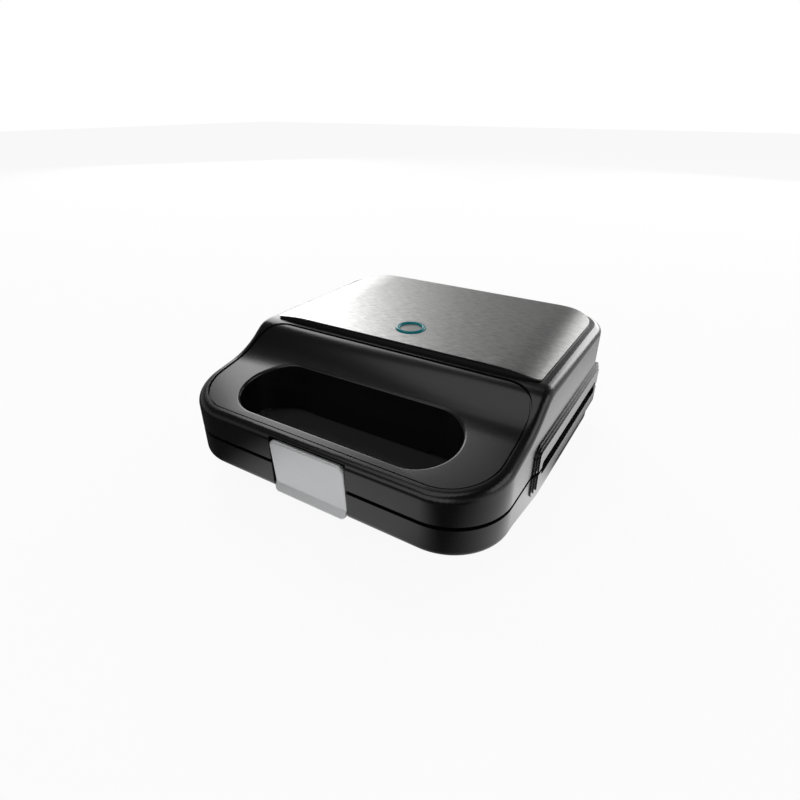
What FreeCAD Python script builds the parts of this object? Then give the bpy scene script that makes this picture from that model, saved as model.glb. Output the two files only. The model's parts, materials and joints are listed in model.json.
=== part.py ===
import FreeCAD, Part
import math
import os
import re

import Sketcher
from FreeCAD import Placement, Rotation, Vector

# Driving dimensions in millimetres. While a piece is drawn, Y runs back from the front wall and Z runs
# up from the plane where lid and base meet. The pieces of the base are drawn like the lid's and turned
# over when placed.
SIZES = {
    # casing outline, shared by lid and base
    "body_width": 240,
    "body_depth": 245,
    "front_corner": 40,
    "rear_corner": 34,
    "shell_wall": 2.5,
    "half_gap": 1.4,
    "rim_radius": 6,
    "fit_gap": 0.3,
    "trim_margin": 20,
    "cut_overlap": 1,
    # rise of the lid from the handle to the top
    "lid_front": 20.5,
    "lid_foot_y": 69.4,
    "lid_foot_z": 34,
    "lid_crest_y": 91,
    "lid_top": 51.5,
    "lid_sweep": 66,
    "lid_crest": 25,
    # shallow dish in the top of the handle, with a groove round it
    "dish_inset": 6.6,
    "dish_drop": 0.6,
    "groove_width": 1.4,
    "groove_drop": 1.7,
    "dish_rear": 4,
    "dish_corner": 22,
    # fall of the base from the handle to the bottom
    "base_front": 22.5,
    "base_foot_y": 45,
    "base_foot_z": 23.5,
    "base_crest_y": 92,
    "base_bottom": 33,
    "base_sweep": 50,
    "base_crest": 40,
    # stepped lips round the slot in each side
    "lip_front_y": 73,
    "lip_rear_inset": 18,
    "lip_height": 19.8,
    "lip_step": 2.6,
    "lip_rise": 0.9,
    "lip_corner": 8,
    "slot_inset": 11,
    "slot_height": 5,
    "slot_corner": 3,
    # finger opening in the handle
    "grip_inset": 36,
    "grip_front_y": 14.5,
    "grip_depth": 52,
    "grip_edge": 2.2,
    "skirt_drop": 1.6,
    "tongue_inset": 34,
    "tongue_drop": 2.8,
    "deck_drop": 5,
    "cover_thickness": 2.5,
    "cover_rear_y": 75.5,
    "cover_screw_inset": 17,
    "cover_screw_front_y": 31,
    "cover_screw_rear_y": 62,
    # latch in the front wall
    "latch_width": 58.8,
    "latch_top": 17.5,
    "latch_bend": 16,
    "latch_bend_radius": 4,
    "latch_lean": 2,
    "latch_thickness": 2.6,
    "latch_proud": 1,
    "latch_corner": 4.5,
    "latch_edge": 1.2,
    "lip_out": 3.5,
    "lip_drop": 6.6,
    "lip_tip_corner": 4,
    "latch_side_gap": 0.8,
    "latch_top_gap": 1.6,
    "recess_depth": 7.2,
    "pivot_y": 3.6,
    "pivot_z": 12,
    "barrel_radius": 3.1,
    "barrel_inset": 3,
    "latch_pin_radius": 1.5,
    "latch_pin_grip": 3,
    "catch_height": 2,
    "catch_reach": 2.6,
    "catch_gap": 0.4,
    "catch_z": 8,
    # hinge behind the rear wall
    "hinge_offset": 6,
    "hinge_inset": 50,
    "knuckle_radius": 5,
    "lug_width": 10,
    "ear_width": 5,
    "ear_gap": 0.4,
    "arm_height": 7,
    "hinge_pin_radius": 2,
    "pin_clearance": 0.05,
    "press_gap": 0.02,
    # frame round each mould plate
    "liner_front_y": 76.5,
    "liner_thickness": 5.2,
    "liner_corner": 6,
    "seat_width": 2,
    "liner_screw_inset": 7.6,
    "liner_screw_front_y": 92,
    "liner_screw_rear_inset": 47,
    "post_radius": 4,
    "screw_radius": 1.5,
    "screw_head_radius": 2.8,
    "screw_head_height": 1.8,
    "screw_length": 12,
    # mould plates
    "plate_side_inset": 12.5,
    "plate_front_y": 97,
    "plate_rear_inset": 8,
    "plate_corner": 14,
    "plate_thickness": 3,
    "plate_face": 0.4,
    "ring_tube": 10,
    "ring_sink": 0.5,
    "cup_wall": 2.5,
    "cup_gap": 0.8,
    "row_inset": 2,
    "boss_radius": 4.5,
    "boss_inset": 12,
    # heating elements and their reflectors
    "element_radius": 3.3,
    "element_gap": 0.2,
    "element_bend_inset": 9.5,
    "element_end_inset": 9.5,
    "terminal_radius": 1.2,
    "terminal_length": 7,
    "reflector_side_inset": 5.5,
    "reflector_end_inset": 4,
    "reflector_thickness": 0.8,
    "reflector_corner": 12,
    # steel panel on the lid with its ring lamp
    "panel_side_inset": 10.2,
    "panel_roll_width": 34,
    "panel_drop": 3,
    "panel_thickness": 0.8,
    "panel_seat": 0.6,
    "panel_front_y": 99.5,
    "panel_rear_inset": 8,
    "panel_front_corner": 4,
    "panel_rear_corner": 25,
    "bed_inset": 1.2,
    "ring_lens_y": 126.3,
    "ring_lens_radius": 11.4,
    "ring_lens_inner": 8.1,
    "ring_lens_flange": 14,
    "lens_floor": 1.4,
    "lens_gap": 0.2,
    "lamp_radius": 3,
    "lamp_length": 14,
    "lamp_holder_radius": 6,
    "lamp_holder_height": 9,
    "lamp_window": 5,
    # controls under the lower plate
    "thermostat_radius": 8,
    "thermostat_height": 6.5,
    "tab_width": 5,
    "tab_length": 5,
    "tab_thickness": 0.8,
    "fuse_radius": 2.4,
    "fuse_length": 13,
    "fuse_x": -30,
    "block_width": 22,
    "block_depth": 14,
    "block_height": 8,
    "block_rear_inset": 30,
    # cord bushing in the rear wall
    "gland_z": 20,
    "gland_radius": 6.5,
    "gland_flange": 9,
    "gland_flange_length": 3,
    "gland_inner_length": 6,
    "gland_bore": 3.5,
    # feet
    "foot_radius": 9,
    "foot_height": 6,
    "foot_stem_radius": 3,
    "foot_stem_length": 5,
    "foot_side_inset": 32,
    "foot_front_y": 114,
    "foot_rear_inset": 31,
}

doc = FreeCAD.newDocument("donut_maker")
dims = doc.addObject("Spreadsheet::Sheet", "dims")
for row, (word, number) in enumerate(SIZES.items(), start=1):
    dims.set(f"A{row}", word)
    dims.set(f"B{row}", str(number))
    dims.setAlias(f"B{row}", word)
doc.recompute()

PIECES = []

# Where the drawing's zero lands in the part's own frame, whose origin is under the middle of its box.
LIP_SLOPE = "atan(lip_out / lip_drop)"
LIP_TIP_ROUND = f"latch_edge * ((1 + sin({LIP_SLOPE})) / cos({LIP_SLOPE}) - 1)"
FRONT_Y = f"(0 - latch_proud + latch_lean - lip_out + {LIP_TIP_ROUND})"
ORIGIN_Y = f"(body_depth + hinge_offset + knuckle_radius + {FRONT_Y}) / 2"
PARTING_Z = "base_bottom + foot_height"

HALF_WIDTH = "body_width / 2"
LIP_REAR_Y = "(body_depth - lip_rear_inset)"
GRIP_RUN = "(body_width / 2 - grip_inset - grip_depth / 2)"
PLATE_WIDTH = "(body_width - 2 * plate_side_inset)"
PLATE_DEPTH = "(body_depth - plate_rear_inset - plate_front_y)"
PLATE_Y = "((body_depth - plate_rear_inset + plate_front_y) / 2)"
PITCH_ACROSS = f"({PLATE_WIDTH} / 3)"
HALF_PITCH_DEEP = f"(({PLATE_DEPTH} / 2 - row_inset) / 2)"
RING_RADIUS = f"(min({PITCH_ACROSS} / 2 - seat_width; {HALF_PITCH_DEEP}) - cup_wall - cup_gap - ring_tube)"
PANEL_HALF = "(body_width / 2 - panel_side_inset)"
PANEL_FLAT = "(body_width / 2 - panel_side_inset - panel_roll_width)"
PANEL_REAR_Y = "(body_depth - panel_rear_inset)"
HINGE_Y = "(body_depth + hinge_offset)"
FACE_Y = "(0 - latch_proud)"
RECESS_HALF = "(latch_width / 2 + latch_side_gap)"
GRIP_CENTRE_Y = "(grip_front_y + grip_depth / 2)"
LINER_TOP = "(half_gap + liner_thickness)"
CUP_TOP = "(plate_face - ring_sink + ring_tube + cup_wall)"
ELEMENT_Z = f"({CUP_TOP} + element_gap + element_radius)"
REFLECTOR_Z = f"({ELEMENT_Z} + element_radius + element_gap)"
REFLECTOR_TOP = f"({REFLECTOR_Z} + reflector_thickness)"
PANEL_TOP = "(lid_top + panel_seat + panel_drop + panel_thickness)"
TURNED_X = Rotation(Vector(0, 1, 0), 90)
TURNED_Y = Rotation(Vector(1, 0, 0), -90)
TURNED_OVER = Rotation(Vector(0, 1, 0), 180)


def linked(text):
    """An expression in the sheet's words, with each word pointing at its cell."""
    return re.sub(r"[a-z]+(?:_[a-z]+)+", lambda found: "dims." + found.group(), text)


def value(text):
    """What an expression in the sheet's words comes to."""
    return float(dims.evalExpression(linked(text)))


def bind(thing, prop, text):
    """Ties one size of an object to the sheet."""
    thing.setExpression(prop, linked(text))


def place(thing, x="0", y="0", z="0", turn=None):
    """Puts an object at a point given in the sheet's words."""
    if turn:
        thing.Placement = Placement(Vector(), turn)
    for axis, text in zip("xyz", (x, y, z)):
        bind(thing, f"Placement.Base.{axis}", text)


def box(name, low, high):
    """A block between two corners."""
    block = doc.addObject("Part::Box", name)
    for prop, start, end in zip(("Length", "Width", "Height"), low, high):
        bind(block, prop, f"({end}) - ({start})")
    place(block, *low)
    return block


def cylinder(name, point, radius, length, turn=None):
    """A round bar from a point, along Z unless it is turned."""
    bar = doc.addObject("Part::Cylinder", name)
    bind(bar, "Radius", radius)
    bind(bar, "Height", length)
    place(bar, *point, turn=turn)
    return bar


def torus(name, point, ring, tube):
    """A round ring about Z."""
    ring_body = doc.addObject("Part::Torus", name)
    bind(ring_body, "Radius1", ring)
    bind(ring_body, "Radius2", tube)
    place(ring_body, *point)
    return ring_body


def fuse(name, *shapes):
    """Several shapes as one, or a group where they stand apart."""
    whole = doc.addObject("Part::MultiFuse", name)
    whole.Shapes = list(shapes)
    whole.Refine = True
    return whole


def cut(name, base, *tools):
    """A shape with others taken out of it."""
    rest = doc.addObject("Part::Cut", name)
    rest.Base = base
    rest.Tool = tools[0] if len(tools) == 1 else fuse(name + "_tools", *tools)
    rest.Refine = True
    return rest


def finish(thing, label, over=False):
    """Names a finished piece and puts it in the part's own frame, turned over for the base."""
    thing.Label = label
    place(thing, "0", f"0 - {ORIGIN_Y}", PARTING_Z, turn=TURNED_OVER if over else None)
    PIECES.append(thing)
    return thing


def new_sketch(body, role, offset="0"):
    """A sketch on one of the body's own origin planes, moved along the plane's normal."""
    sketch = body.newObject("Sketcher::SketchObject", body.Name + "_sketch")
    plane = next(item for item in body.Origin.OriginFeatures if item.Role == role)
    sketch.AttachmentSupport = (plane, "")
    sketch.MapMode = "FlatFace"
    bind(sketch, "AttachmentOffset.Base.z", offset)
    return sketch


def constrain(sketch, text, kind, *where):
    """A dimension in a sketch, tied to the sheet."""
    index = sketch.addConstraint(Sketcher.Constraint(kind, *where, value(text)))
    bind(sketch, f"Constraints[{index}]", text)


def draw_polygon(sketch, corners):
    """A closed outline of straight lines through corners given in the sheet's words."""
    points = [Vector(value(x), value(y), 0) for x, y in corners]
    count = len(points)
    for index in range(count):
        sketch.addGeometry(Part.LineSegment(points[index], points[(index + 1) % count]))
    for index, (x, y) in enumerate(corners):
        sketch.addConstraint(Sketcher.Constraint("Coincident", index, 2, (index + 1) % count, 1))
        constrain(sketch, x, "DistanceX", -1, 1, index, 1)
        constrain(sketch, y, "DistanceY", -1, 1, index, 1)


def draw_rounded(sketch, left, right, low, high, radii):
    """A rectangle whose corners, from low left round to high left, have radii, or None where sharp."""
    sides = [(left, low), (right, low), (right, high), (left, high)]
    along = [Vector(1, 0, 0), Vector(0, 1, 0), Vector(-1, 0, 0), Vector(0, -1, 0)]
    points = [Vector(value(x), value(y), 0) for x, y in sides]
    reach = [value(radius) if radius else 0 for radius in radii]
    lines = []
    for index in range(4):
        after = (index + 1) % 4
        start = points[index] + along[index] * reach[index]
        end = points[after] - along[index] * reach[after]
        lines.append(sketch.addGeometry(Part.LineSegment(start, end)))
        sketch.addConstraint(Sketcher.Constraint("Vertical" if index % 2 else "Horizontal", lines[index]))
    quarter = math.pi / 2
    for index, radius in enumerate(radii):
        before = lines[index - 1]
        if not radius:
            sketch.addConstraint(Sketcher.Constraint("Coincident", before, 2, lines[index], 1))
            continue
        centre = points[index] + (along[index] - along[index - 1]) * reach[index]
        circle = Part.Circle(centre, Vector(0, 0, 1), reach[index])
        arc = sketch.addGeometry(Part.ArcOfCircle(circle, (index + 2) * quarter, (index + 3) * quarter))
        sketch.addConstraint(Sketcher.Constraint("Tangent", before, 2, arc, 1))
        sketch.addConstraint(Sketcher.Constraint("Tangent", arc, 2, lines[index], 1))
        constrain(sketch, radius, "Radius", arc)
    constrain(sketch, low, "DistanceY", -1, 1, lines[0], 1)
    constrain(sketch, right, "DistanceX", -1, 1, lines[1], 1)
    constrain(sketch, high, "DistanceY", -1, 1, lines[2], 1)
    constrain(sketch, left, "DistanceX", -1, 1, lines[3], 1)


def draw_slot(sketch, half_run, centre_y, radius):
    """A slot along X with round ends, centred on X."""
    run = value(half_run)
    middle = value(centre_y)
    reach = value(radius)
    quarter = math.pi / 2
    up = Vector(0, 0, 1)
    front = middle - reach
    rear = middle + reach
    low = sketch.addGeometry(Part.LineSegment(Vector(-run, front, 0), Vector(run, front, 0)))
    right_circle = Part.Circle(Vector(run, middle, 0), up, reach)
    right = sketch.addGeometry(Part.ArcOfCircle(right_circle, -quarter, quarter))
    high = sketch.addGeometry(Part.LineSegment(Vector(run, rear, 0), Vector(-run, rear, 0)))
    left_circle = Part.Circle(Vector(-run, middle, 0), up, reach)
    left = sketch.addGeometry(Part.ArcOfCircle(left_circle, quarter, 3 * quarter))
    loop = [low, right, high, left]
    for index, curve in enumerate(loop):
        sketch.addConstraint(Sketcher.Constraint("Tangent", curve, 2, loop[(index + 1) % 4], 1))
    constrain(sketch, radius, "Radius", right)
    constrain(sketch, half_run, "DistanceX", -1, 1, right, 3)
    constrain(sketch, centre_y, "DistanceY", -1, 1, right, 3)
    constrain(sketch, f"0 - ({half_run})", "DistanceX", -1, 1, left, 3)
    constrain(sketch, centre_y, "DistanceY", -1, 1, left, 3)


def new_body(name):
    return doc.addObject("PartDesign::Body", name)


def pad(body, sketch, length):
    """Material from a sketch along its plane's normal."""
    feature = body.newObject("PartDesign::Pad", body.Name + "_pad")
    feature.Profile = sketch
    bind(feature, "Length", length)
    doc.recompute()
    return feature


def trim_across(body, sketch):
    """Cuts a side view right through the body, both ways from its middle."""
    feature = body.newObject("PartDesign::Pocket", body.Name + "_trim")
    feature.Profile = sketch
    feature.SideType = "Symmetric"
    bind(feature, "Length", "body_width * 2")
    doc.recompute()
    return feature


def round_edges(body, names, radius):
    """Rounds the named edges of the body's last feature."""
    feature = body.newObject("PartDesign::Fillet", body.Name + "_round")
    feature.Base = (body.Tip if body.Tip != feature else feature.BaseFeature, names)
    bind(feature, "Radius", radius)
    doc.recompute()
    return feature


def edges_where(shape, test):
    """Names of the edges whose every corner passes a test."""
    return [
        f"Edge{index}"
        for index, edge in enumerate(shape.Edges, start=1)
        if all(test(vertex.Point) for vertex in edge.Vertexes)
    ]


def near(one, other):
    return abs(one - other) < 0.001


def is_upright(face):
    """Whether a face stands parallel to Z."""
    u_low, u_high, v_low, v_high = face.ParameterRange
    return near(face.normalAt((u_low + u_high) / 2, (v_low + v_high) / 2).z, 0)


def rim_edges(shape, floor):
    """Edges above a floor where an upright wall turns into the top."""
    found = []
    for index, edge in enumerate(shape.Edges, start=1):
        walls = [is_upright(face) for face in shape.ancestorsOfType(edge, Part.Face)]
        if edge.BoundBox.ZMin > floor and walls.count(True) == 1:
            found.append(f"Edge{index}")
    return found


def casing(name, side, inset, start):
    """The lid's or base's outer form, or a smaller one inside it: rounded in plan, swept in side view."""
    front = f"({side}_front - {inset})"
    foot_y = f"({side}_foot_y + {inset} / 2)"
    foot_z = f"({side}_foot_z - {inset})"
    crest_y = f"({side}_crest_y + {inset} / 2)"
    top = f"({side}_top - {inset})" if side == "lid" else f"({side}_bottom - {inset})"
    body = new_body(name)
    plan = new_sketch(body, "XY_Plane", start)
    half = f"{HALF_WIDTH} - {inset}"
    front_radius = f"front_corner - {inset}"
    rear_radius = f"rear_corner - {inset}"
    corners = [front_radius, front_radius, rear_radius, rear_radius]
    draw_rounded(plan, f"0 - ({half})", half, inset, f"body_depth - {inset}", corners)
    pad(body, plan, f"{top} + trim_margin - ({start})")
    above = f"{top} + 2 * trim_margin"
    behind = "body_depth + trim_margin"
    view = new_sketch(body, "YZ_Plane")
    ahead = "0 - trim_margin"
    ramp = [(ahead, above), (ahead, front), (inset, front), (foot_y, foot_z), (crest_y, top), (behind, top)]
    draw_polygon(view, ramp + [(behind, above)])
    trim_across(body, view)
    for edge_y, edge_z, radius in ((foot_y, foot_z, f"{side}_sweep"), (crest_y, top, f"{side}_crest")):
        target = (value(edge_y), value(edge_z))
        names = edges_where(body.Shape, lambda point: near(point.y, target[0]) and near(point.z, target[1]))
        round_edges(body, names, radius)
    round_edges(body, rim_edges(body.Shape, value(start) + value("cut_overlap")), f"rim_radius - {inset}")
    return body


def add_lips(body):
    """Three stepped plates round the slot in each side wall, and the slot itself."""
    for step in range(3):
        shrink = f"{step} * lip_step"
        reach = f"{HALF_WIDTH} + {step + 1} * lip_rise"
        radius = f"lip_corner - {shrink}"
        sketch = new_sketch(body, "YZ_Plane", f"0 - ({reach})")
        draw_rounded(
            sketch,
            f"lip_front_y + {shrink}",
            f"{LIP_REAR_Y} - {shrink}",
            "half_gap",
            f"lip_height - {shrink}",
            [None, None, radius, radius],
        )
        pad(body, sketch, f"2 * ({reach})")
    slot = new_sketch(body, "YZ_Plane")
    draw_rounded(
        slot,
        "lip_front_y + slot_inset",
        f"{LIP_REAR_Y} - slot_inset",
        "half_gap - trim_margin",
        "slot_height",
        [None, None, "slot_corner", "slot_corner"],
    )
    trim_across(body, slot)


def screw_posts(name, spots, start):
    """Round posts that stand from a level up into the casing."""
    return [
        cylinder(f"{name}_{index}", (x, y, start), "post_radius", "lid_top")
        for index, (x, y) in enumerate(spots)
    ]


def screw_holes(name, spots, start, length):
    """Holes that the screws pass through."""
    return [
        cylinder(f"{name}_{index}", (x, y, start), "screw_radius + pin_clearance", length)
        for index, (x, y) in enumerate(spots)
    ]


def screw_group(label, spots, head_z, length, over):
    """A set of like screws, heads down, each one solid."""
    screws = []
    for index, (x, y) in enumerate(spots):
        head = cylinder(f"{label}_head_{index}", (x, y, head_z), "screw_head_radius", "screw_head_height")
        shank = cylinder(f"{label}_shank_{index}", (x, y, head_z), "screw_radius", length)
        screws.append(fuse(f"{label}_{index}", head, shank))
    return finish(fuse(label, *screws), label, over)


def mirrored_spots(x, *depths):
    """Points on both sides of the middle at several depths."""
    return [(f"{sign} * ({x})", y) for y in depths for sign in (-1, 1)]


LINER_SPOTS = mirrored_spots(
    f"{HALF_WIDTH} - liner_screw_inset", "liner_screw_front_y", "body_depth - liner_screw_rear_inset"
)
COVER_SPOTS = mirrored_spots(f"{HALF_WIDTH} - cover_screw_inset", "cover_screw_front_y", "cover_screw_rear_y")
FOOT_SPOTS = mirrored_spots(f"{HALF_WIDTH} - foot_side_inset", "foot_front_y", "body_depth - foot_rear_inset")
BOSS_REACH = f"({PLATE_DEPTH} / 2 - boss_inset)"
BOSS_SPOTS = mirrored_spots(f"{PITCH_ACROSS} / 2", f"{PLATE_Y} - {BOSS_REACH}", f"{PLATE_Y} + {BOSS_REACH}")
CUP_SPOTS = [
    (f"{column} * {PITCH_ACROSS}", f"{PLATE_Y} + {row} * {HALF_PITCH_DEEP}")
    for row in (-1, 1)
    for column in (-1, 0, 1)
]


def grip_prism(name, grow, start, length):
    """The finger opening's outline as an upright prism, grown all round."""
    body = new_body(name)
    sketch = new_sketch(body, "XY_Plane", start)
    radius = f"grip_depth / 2 + {grow}"
    draw_slot(sketch, GRIP_RUN, GRIP_CENTRE_Y, radius)
    pad(body, sketch, length)
    return body


def dish_prism(name, inset):
    """The dish's outline as an upright prism, drawn in from the casing's outline."""
    body = new_body(name)
    sketch = new_sketch(body, "XY_Plane", "lid_front / 2")
    half = f"{HALF_WIDTH} - ({inset})"
    front = f"front_corner - ({inset})"
    rear = f"dish_corner - ({inset} - dish_inset)"
    rear_y = f"lid_crest_y + dish_rear - ({inset} - dish_inset)"
    draw_rounded(sketch, f"0 - ({half})", half, inset, rear_y, [front, front, rear, rear])
    pad(body, sketch, "lid_top")
    return body


def handle_dish():
    """The room of the dish in the handle's top and of the groove round it, above lowered forms of the lid."""
    return [
        cut(
            "dish",
            dish_prism("dish_outline", "dish_inset"),
            casing("dish_floor", "lid", "dish_drop", "half_gap"),
        ),
        cut(
            "groove",
            dish_prism("groove_outline", "dish_inset"),
            dish_prism("groove_core", "dish_inset + groove_width"),
            casing("groove_floor", "lid", "groove_drop", "half_gap"),
        ),
    ]


def latch_housing(name, start, top):
    """The block of casing that the latch recess is cut into."""
    half = f"({RECESS_HALF} + shell_wall)"
    return box(name, (f"0 - {half}", "0", start), (half, "recess_depth + shell_wall", top))


def latch_recess(name, start, top):
    """The room in the front wall that the latch swings in."""
    return box(name, (f"0 - {RECESS_HALF}", "0 - trim_margin", start), (RECESS_HALF, "recess_depth", top))


def knuckles(name, width, centres, low, high):
    """Round hinge ends on the axis, with arms that reach the rear wall."""
    shapes = []
    for index, centre in enumerate(centres):
        left = f"({centre}) - {width} / 2"
        end = cylinder(f"{name}_end_{index}", (left, HINGE_Y, "0"), "knuckle_radius", width, TURNED_X)
        wall_y = "body_depth - shell_wall / 2"
        arm = box(f"{name}_arm_{index}", (left, wall_y, low), (f"({centre}) + {width} / 2", HINGE_Y, high))
        shapes += [end, arm]
    return shapes


LUG_CENTRES = [f"0 - ({HALF_WIDTH} - hinge_inset)", f"({HALF_WIDTH} - hinge_inset)"]
EAR_SHIFT = "(lug_width / 2 + ear_gap + ear_width / 2)"
EAR_CENTRES = [f"{lug} {sign} {EAR_SHIFT}" for lug in LUG_CENTRES for sign in ("-", "+")]
HINGE_REACH = "(lug_width + 2 * ear_gap + 2 * ear_width)"


def hinge_bores(name, radius):
    """Holes for both hinge pins."""
    return [
        cylinder(
            f"{name}_{index}",
            (f"{lug} - {HINGE_REACH}", HINGE_Y, "0"),
            radius,
            f"2 * {HINGE_REACH}",
            TURNED_X,
        )
        for index, lug in enumerate(LUG_CENTRES)
    ]


def mouth_edges(shape):
    """Numbers of the edges where the finger opening's wall meets the top of the handle."""
    run = value(GRIP_RUN)
    middle = value(GRIP_CENTRE_Y)
    reach = value("grip_depth / 2")

    def on_wall(point):
        past_run = max(abs(point.x) - run, 0)
        return abs(math.hypot(past_run, point.y - middle) - reach) < 0.01

    return [
        index
        for index, edge in enumerate(shape.Edges, start=1)
        if edge.BoundBox.ZMin > value("lid_front - rim_radius") and all(map(on_wall, edge.discretize(5)))
    ]


def make_upper_shell():
    """The lid's casing: swept outer form, hollow, with the finger opening, latch recess and hinge lugs."""
    outer = casing("lid_outer", "lid", "0", "half_gap")
    add_lips(outer)
    hollow = casing("lid_hollow", "lid", "shell_wall", "half_gap - cut_overlap")
    kept = [
        grip_prism("skirt_core", "shell_wall", "half_gap - cut_overlap", "lid_top"),
        latch_housing("lid_latch_housing", "half_gap - cut_overlap", "lid_top"),
        *screw_posts("lid_liner_post", LINER_SPOTS, LINER_TOP),
        *screw_posts("lid_cover_post", COVER_SPOTS, "half_gap + cover_thickness"),
    ]
    room = cut("lid_room", hollow, *kept)
    skirt = grip_prism("skirt", "shell_wall", "0 - skirt_drop", "skirt_drop + half_gap + shell_wall")
    back = "(grip_front_y + grip_depth)"
    tongue_half = f"({HALF_WIDTH} - grip_inset - tongue_inset)"
    tongue = box(
        "tongue",
        (f"0 - {tongue_half}", back, "0 - skirt_drop - tongue_drop"),
        (tongue_half, f"{back} + shell_wall", "0 - skirt_drop + cut_overlap"),
    )
    lugs = knuckles("lug", "lug_width", LUG_CENTRES, "half_gap", "arm_height")
    solid = cut("lid_walls", fuse("lid_solid", outer, skirt, tongue, panel_bed(), *lugs), room)
    grip = grip_prism("grip", "0", "0 - trim_margin", "lid_top + 2 * trim_margin")
    opened = cut(
        "lid_opened",
        solid,
        *handle_dish(),
        grip,
        latch_recess("lid_recess", "half_gap - cut_overlap", "latch_top + latch_top_gap"),
        cylinder(
            "lamp_hole",
            ("0", "ring_lens_y", "lid_top - 2 * shell_wall"),
            "lamp_window",
            "3 * shell_wall",
        ),
        cylinder("lens_pocket", ("0", "ring_lens_y", "lid_top"), "ring_lens_flange + fit_gap", "trim_margin"),
        cylinder(
            "latch_pin_hole",
            (f"0 - ({RECESS_HALF} + latch_pin_grip)", "pivot_y", "pivot_z"),
            "latch_pin_radius + press_gap",
            f"2 * ({RECESS_HALF} + latch_pin_grip)",
            TURNED_X,
        ),
        *screw_holes("lid_liner_hole", LINER_SPOTS, "half_gap", "screw_length + screw_head_height"),
        *screw_holes("lid_cover_hole", COVER_SPOTS, "half_gap", "screw_length + screw_head_height"),
        *hinge_bores("lug_bore", "hinge_pin_radius + pin_clearance"),
    )
    doc.recompute()
    softened = doc.addObject("Part::Fillet", "grip_mouth")
    softened.Base = opened
    radius = value("grip_edge")
    softened.Edges = [(index, radius, radius) for index in mouth_edges(opened.Shape)]
    finish(softened, "upper_shell")


def make_lower_shell():
    """The base's casing, turned over, with the latch catch, hinge ears, cord hole and foot holes."""
    outer = casing("base_outer", "base", "0", "half_gap")
    add_lips(outer)
    hollow = casing("base_hollow", "base", "shell_wall", "half_gap - cut_overlap")
    kept = [
        latch_housing("base_latch_housing", "half_gap - cut_overlap", "base_bottom"),
        *screw_posts("base_liner_post", LINER_SPOTS, LINER_TOP),
        *screw_posts("base_cover_post", COVER_SPOTS, "deck_drop + cover_thickness"),
    ]
    room = cut("base_room", hollow, *kept)
    foot_hole_z = "base_bottom - 2 * shell_wall"
    tray = cut(
        "base_tray",
        outer,
        room,
        latch_recess("base_recess", "half_gap - cut_overlap", "base_bottom + trim_margin"),
        *screw_holes("base_liner_hole", LINER_SPOTS, "half_gap", "screw_length + screw_head_height"),
        *screw_holes("base_cover_hole", COVER_SPOTS, "deck_drop", "screw_length + screw_head_height"),
        *[
            cylinder(
                f"foot_hole_{index}",
                (x, y, foot_hole_z),
                "foot_stem_radius + press_gap",
                "3 * shell_wall",
            )
            for index, (x, y) in enumerate(FOOT_SPOTS)
        ],
    )
    place(tray, turn=TURNED_OVER)
    catch = box(
        "catch",
        (f"0 - {RECESS_HALF} - shell_wall / 2", "recess_depth - catch_reach", "0 - catch_z - catch_height"),
        (f"{RECESS_HALF} + shell_wall / 2", "recess_depth + shell_wall / 2", "0 - catch_z"),
    )
    ears = knuckles("ear", "ear_width", EAR_CENTRES, "0 - 2 * knuckle_radius", "0 - half_gap")
    solid = fuse("base_solid", tray, catch, *ears)
    gland_hole = cylinder(
        "gland_hole",
        ("0", "body_depth - 2 * shell_wall", "0 - gland_z"),
        "gland_radius + press_gap",
        "3 * shell_wall",
        TURNED_Y,
    )
    bores = hinge_bores("ear_bore", "hinge_pin_radius + press_gap")
    finish(cut("lower_shell", solid, gland_hole, *bores), "lower_shell")


def make_handle_cover(label, start, over, opening):
    """The panel inside the handle, notched round the latch housing, with its screw holes."""
    body = new_body(label + "_panel")
    sketch = new_sketch(body, "XY_Plane", start)
    edge = "(shell_wall + fit_gap)"
    half = f"{HALF_WIDTH} - {edge}"
    radius = f"front_corner - {edge}"
    draw_rounded(sketch, f"0 - ({half})", half, edge, "cover_rear_y", [radius, radius, None, None])
    pad(body, sketch, "cover_thickness")
    notch_half = f"({RECESS_HALF} + {edge})"
    notch = box(
        label + "_notch",
        (f"0 - {notch_half}", "0", f"{start} - cut_overlap"),
        (notch_half, f"recess_depth + {edge}", f"{start} + cover_thickness + cut_overlap"),
    )
    below = f"{start} - cut_overlap"
    through = "cover_thickness + 2 * cut_overlap"
    tools = [notch, *screw_holes(label + "_hole", COVER_SPOTS, below, through)]
    if opening:
        tools.append(grip_prism(label + "_opening", f"({edge})", below, through))
    finish(cut(label, body, *tools), label, over)


def make_liner(label, over):
    """The frame that the mould plate seats in: a stepped window in a flat rim."""
    edge = "(shell_wall + fit_gap)"
    half = f"{HALF_WIDTH} - {edge}"
    rim = new_body(label + "_rim")
    plan = new_sketch(rim, "XY_Plane", "half_gap")
    rear = f"rear_corner - {edge}"
    radii = ["liner_corner", "liner_corner", rear, rear]
    draw_rounded(plan, f"0 - ({half})", half, "liner_front_y", f"body_depth - {edge}", radii)
    pad(rim, plan, "liner_thickness")
    seat = plate_prism(
        label + "_seat",
        "fit_gap",
        "half_gap - cut_overlap",
        "plate_face + plate_thickness - half_gap + cut_overlap",
    )
    window = plate_prism(label + "_window", "0 - seat_width", "half_gap", "liner_thickness + cut_overlap")
    heads = [
        cylinder(
            f"{label}_sink_{index}",
            (x, y, "half_gap - cut_overlap"),
            "screw_head_radius + fit_gap",
            "screw_head_height + cut_overlap",
        )
        for index, (x, y) in enumerate(LINER_SPOTS)
    ]
    holes = screw_holes(label + "_hole", LINER_SPOTS, "half_gap", "liner_thickness + cut_overlap")
    finish(cut(label, rim, seat, window, *heads, *holes), label, over)


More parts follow.
